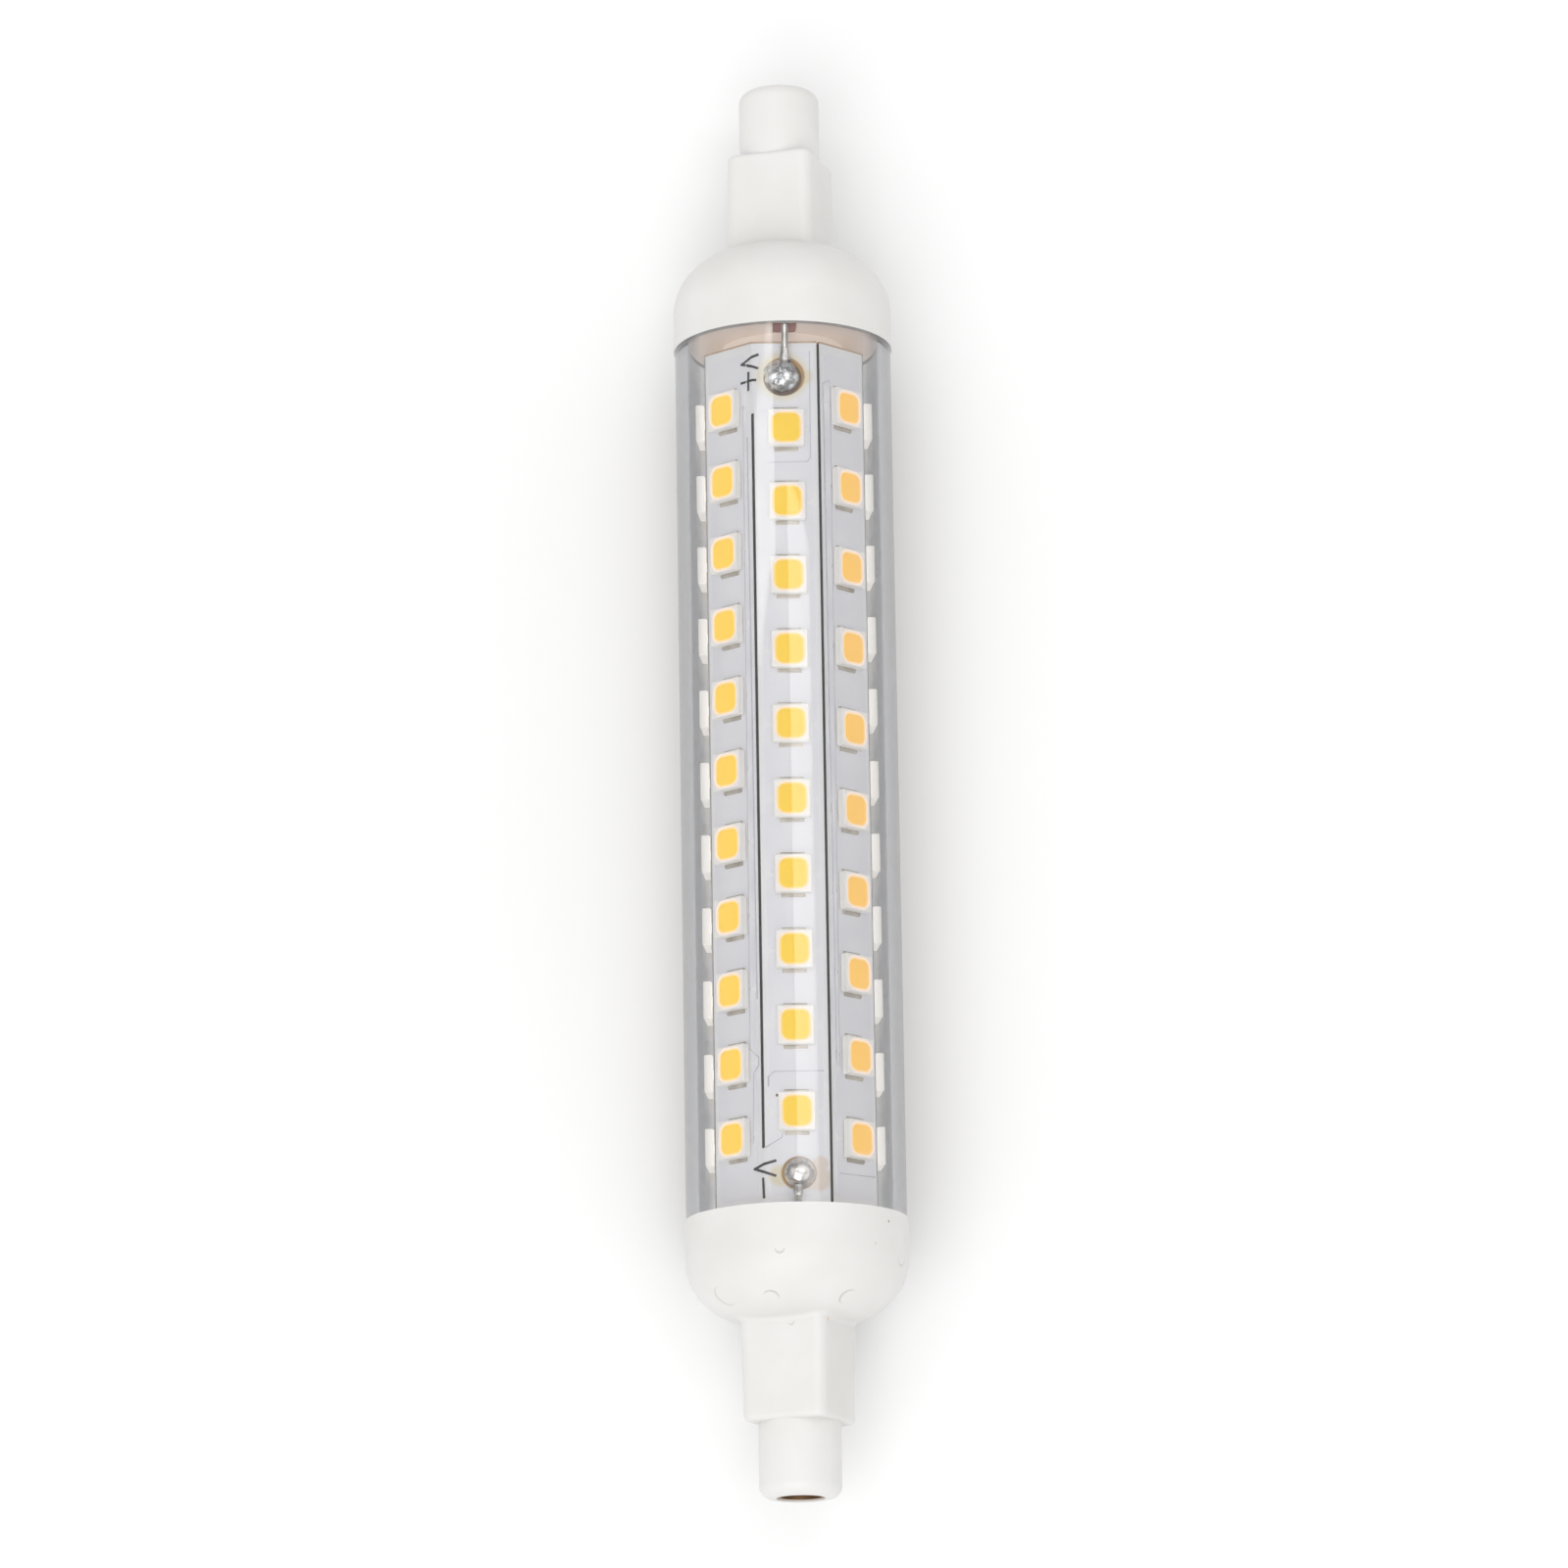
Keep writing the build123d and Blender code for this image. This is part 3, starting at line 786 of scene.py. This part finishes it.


# ---- Solder joints and leads --------------------------------------------------------------
# Two joints soldered by hand: a rough grey one at V+ and a bright round one at V-, each on the
# end of a tinned wire that comes out of its cap.

# Solder mirrors its surroundings; the disturbed kind is broken into facets. Each has a dark and a
# light grey, mottled through it as painted reflection of dark and light surroundings over the
# tin's own patches, and the depth of its facets in metres.
solder_kinds = {
    "hand_soldered_tin": ("8F8B87", "E2DEDA", 0.00003),
    "disturbed_solder": ("75787B", "E6E7E8", 0.00016),
}
joints = {}
for name, (dark, light, depth) in solder_kinds.items():
    made, tree, shader = new_material(name, {"Metallic": 1.0, "Roughness": 0.17})
    place = object_place(tree)
    colour = clouded(tree, place, 1300.0, 3.0, [(0.35, dark), (0.6, light)])
    tree.links.new(colour, shader.inputs["Base Color"])
    facets = add(tree, "ShaderNodeTexVoronoi", sockets={"Vector": place, "Scale": 1500.0})
    bump = add(tree, "ShaderNodeBump", sockets={
        "Height": facets.outputs["Distance"], "Strength": 0.8, "Distance": depth})
    tree.links.new(bump.outputs[0], shader.inputs["Normal"])
    joints[name] = made
dress(["negative_solder"], joints["hand_soldered_tin"])

# The V+ joint: a lumpy mound that cooled while it was moved
joint_place = (32.42, 0.28)
joint_radius = 1.45
joint_height = 0.95
ball_segments = 18
ball_rings = 12
lump = 0.16
ball_radius = (joint_radius ** 2 + joint_height ** 2) / (2 * joint_height)
bpy.ops.object.select_all(action="DESELECT")
bpy.ops.mesh.primitive_uv_sphere_add(
    segments=ball_segments, ring_count=ball_rings, radius=ball_radius * MM,
    location=(joint_place[0] * MM, joint_place[1] * MM,
              (apothem + joint_height - ball_radius) * MM),
)
mound = bpy.context.object
mound.name = "rough_solder_joint"
bpy.ops.object.transform_apply()
in_edit(mound, any_part, "CORNER")
bpy.ops.transform.vertex_random(offset=lump * MM, normal=1.0, seed=5)
out_of_edit()
smoother = mound.modifiers.new("smoother", "SUBSURF")
smoother.levels = 2
smoother.render_levels = 2
bpy.ops.object.modifier_apply(modifier="smoother")
in_edit(mound, any_part)
bpy.ops.mesh.bisect(plane_co=(0, 0, apothem * MM), plane_no=(0, 0, 1),
                    use_fill=True, clear_inner=True)
out_of_edit()
bpy.ops.object.shade_smooth_by_angle(angle=math.radians(50))
finish_piece(mound, joints["disturbed_solder"], ["positive_solder"])

# Solder climbs a little way up each lead: a short cone from the joint, by its start and reach
climb_foot = 0.44
climb_top = 0.275
climb_level = 6.72
climb_turn = 87
climb_sides = 20
climb_rim = 0.04
for name, near, climb in (("positive_climb", 33.55, 1.5), ("negative_climb", -34.75, -1.3)):
    bpy.ops.object.select_all(action="DESELECT")
    bpy.ops.mesh.primitive_cone_add(
        vertices=climb_sides, depth=abs(climb) * MM,
        radius1=climb_foot * MM, radius2=climb_top * MM,
        location=((near + climb / 2) * MM, 0, climb_level * MM),
        rotation=(0, math.radians(math.copysign(climb_turn, climb)), 0),
    )
    cone = bpy.context.object
    cone.name = name
    bpy.ops.object.transform_apply()
    in_edit(cone, lambda face: len(face.verts) > 4)
    bpy.ops.mesh.inset(thickness=climb_rim * MM)
    out_of_edit()
    bpy.ops.object.shade_smooth_by_angle(angle=math.radians(50))
    finish_piece(cone, joints["hand_soldered_tin"])

# Tinned copper wire: a bright, slightly drawn grey
lead_metal = clouded_material("tinned_copper_wire", {"Metallic": 1.0, "Roughness": 0.3},
                              1200.0, 2.0, [(0.3, "A9A6A2"), (0.7, "D0CECA")])
dress(["positive_lead", "negative_lead", "capacitor_return_lead"], lead_metal)


# ---- Film capacitor -----------------------------------------------------------------------
# A wound film capacitor dipped in dark red epoxy. Its end stands in the upper cap's wire slot,
# behind the V+ lead.

# Dipped epoxy: a dark, glossy red
red_epoxy = clouded_material("dipped_red_epoxy", {"Roughness": 0.3, "IOR": 1.55},
                             900.0, 3.0, [(0.3, "8E3438"), (0.7, "AA4A4A")])
dress(["film_capacitor"], red_epoxy)


# ---- Driver -------------------------------------------------------------------------------
# The driver stands inside the folded board: its laminate board with the chips on top and the
# can, coil and resistor below. Nothing of it shows while the lamp is closed.

# Each finish: its nodes, a dark and a light colour, its roughness and its metal share
driver_finishes = {
    "glass_epoxy_laminate": (["driver_board"], "4E7A4A", "5B8A55", 0.45, 0.0),
    "moulded_black_epoxy": (
        ["bridge_rectifier", "driver_chip", "flyback_diode", "chip_resistors"],
        "1E1E20", "2B2B2E", 0.5, 0.0,
    ),
    "shrink_sleeved_can": (["electrolytic_capacitor"], "20242C", "2E343F", 0.35, 0.0),
    "pressed_ferrite": (["inductor_core"], "3A3A3C", "4A4A4C", 0.6, 0.0),
    "enamelled_copper_wire": (["inductor_winding"], "8A4A22", "B4672F", 0.3, 1.0),
    "dipped_resistor_enamel": (["fusible_resistor"], "7FA7A5", "94BBB8", 0.4, 0.0),
    "extruded_wire_cover": (
        ["upper_mains_wire", "lower_mains_wire"], "C9C6C0", "DAD8D2", 0.5, 0.0,
    ),
}
for name, (nodes, dark, light, roughness, metallic) in driver_finishes.items():
    sockets = {"Roughness": roughness, "Metallic": metallic}
    dress(nodes, clouded_material(name, sockets, 800.0, 3.0, [(0.35, dark), (0.65, light)]))
